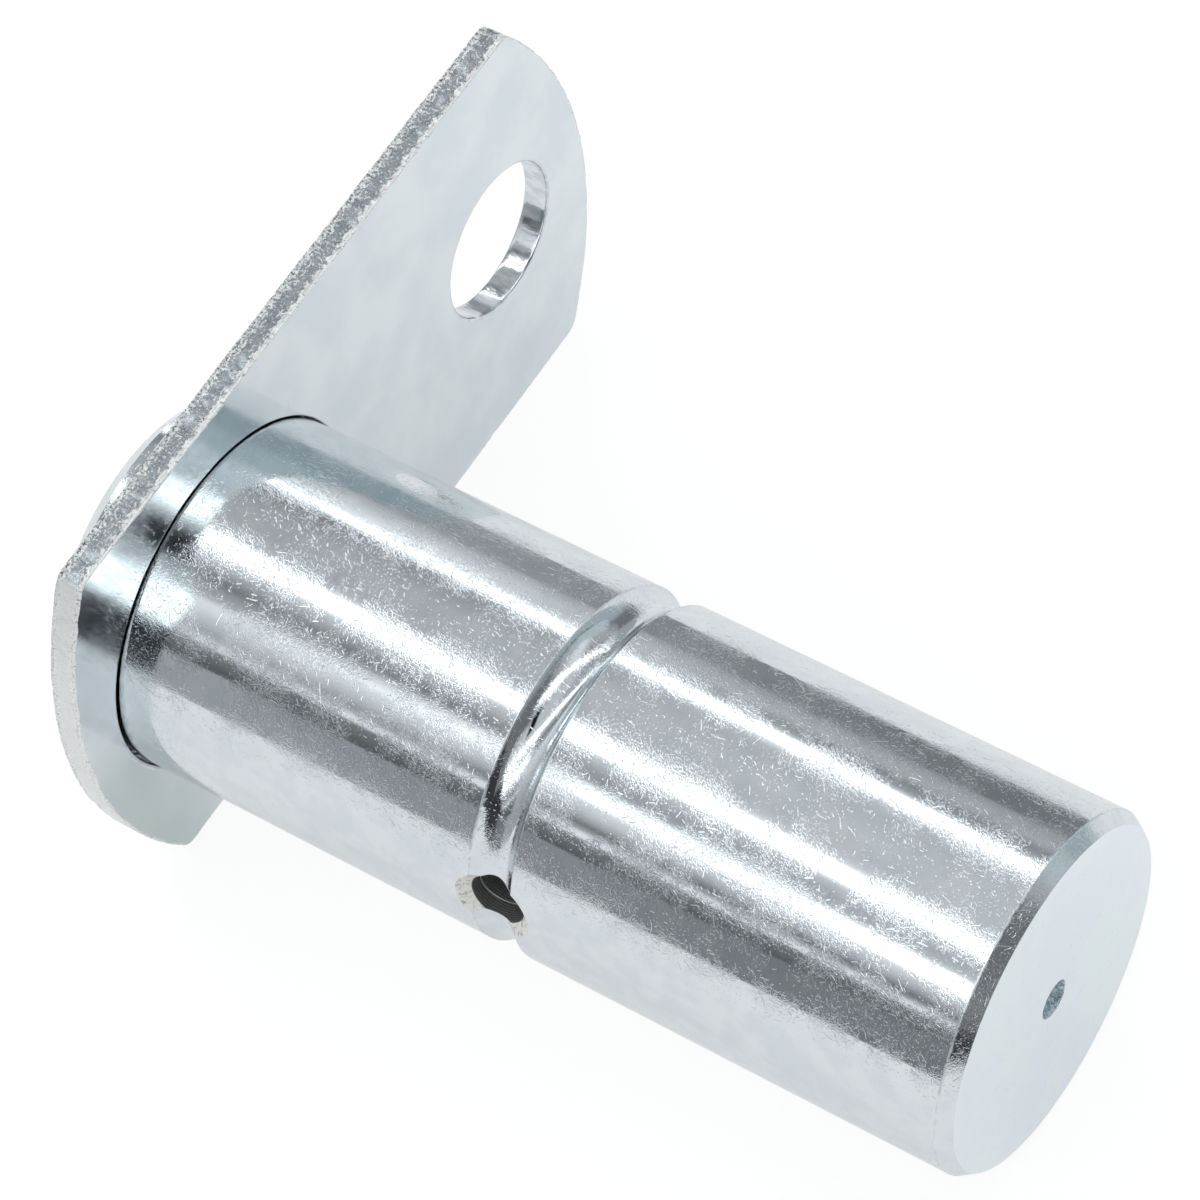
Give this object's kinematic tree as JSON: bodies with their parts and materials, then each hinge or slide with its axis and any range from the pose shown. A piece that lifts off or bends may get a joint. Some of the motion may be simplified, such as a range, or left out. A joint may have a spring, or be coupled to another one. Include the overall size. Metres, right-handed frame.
{
  "type": "tilt pin",
  "caption": "Round plated steel pivot pin with a cross-drilled grease groove, and a flat flag with a bolt hole welded round its head end.",
  "frame": {"origin": "on the pin's axis, at the front face of the flag, where the shank begins", "axes": "+X along the pin from the flag to the free end, +Y along the flag from the pin to the bolt hole, +Z across the flag's width; the part lies on the flag's lower long edge"},
  "size_m": [0.1048, 0.0888, 0.0508],
  "materials": {
    "plated_turned_steel": "bright zinc plating on a turned surface, with fine handling scratches",
    "plated_flat_bar": "bright zinc plating on rolled flat bar, satin faces and rough sheared edges",
    "plated_weld": "bright zinc plating on a rippled weld bead"
  },
  "bodies": {
    "root": {"pin_shaft": "plated_turned_steel", "flag_plate": "plated_flat_bar", "weld_bead": "plated_weld"}
  },
  "joints": []
}
